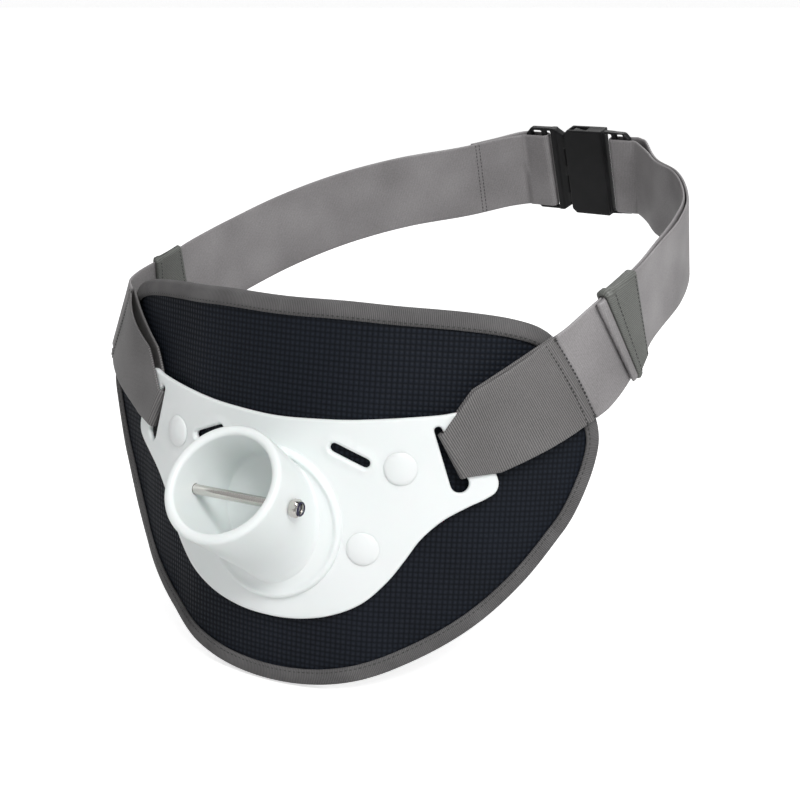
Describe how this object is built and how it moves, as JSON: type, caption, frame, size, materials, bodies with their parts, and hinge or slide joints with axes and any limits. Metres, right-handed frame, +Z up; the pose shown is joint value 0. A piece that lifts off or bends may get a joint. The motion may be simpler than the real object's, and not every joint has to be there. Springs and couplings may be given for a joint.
{
  "type": "fishing fighting belt",
  "caption": "Fishing fighting belt: padded apron, moulded plate with a tilted gimbal cup and cross pin, and a webbing waist strap closed by a side release buckle",
  "frame": {"origin": "the middle of the waist opening, in the plane that the waist loop lies in", "axes": "+Z up on the standing wearer; the wearer faces -Y, so the plate and its cup are at -Y and the buckle at +Y; +X is the wearer's left"},
  "size_m": [0.3159, 0.3802, 0.2647],
  "materials": {
    "pad_cloth": "embossed coated cloth, black with a blue cast, semi matt",
    "binding_tape": "ribbed grey binding tape, matt",
    "webbing": "fine twill webbing, warm grey with a satin sheen",
    "keeper_tape": "grey green twill tape, matt",
    "white_plastic": "moulded white plastic, satin",
    "black_plastic": "moulded black plastic, fine matt texture",
    "stainless": "turned stainless steel, polished",
    "nylon_insert": "dark blue nylon lock ring"
  },
  "bodies": {
    "root": {"pad": "pad_cloth", "pad_binding": "binding_tape", "gimbal_plate": "white_plastic", "cross_pin": "stainless", "lock_nut": "stainless", "lock_nut_insert": "nylon_insert", "rivet_cap_upper_left": "white_plastic", "rivet_cap_lower_left": "white_plastic", "wing_strap_left": "webbing", "waist_strap_left": "webbing", "keeper_left": "keeper_tape", "rivet_cap_upper_right": "white_plastic", "rivet_cap_lower_right": "white_plastic", "wing_strap_right": "webbing", "waist_strap_right": "webbing", "keeper_right": "keeper_tape", "buckle_male": "black_plastic", "buckle_female": "black_plastic"}
  },
  "joints": []
}
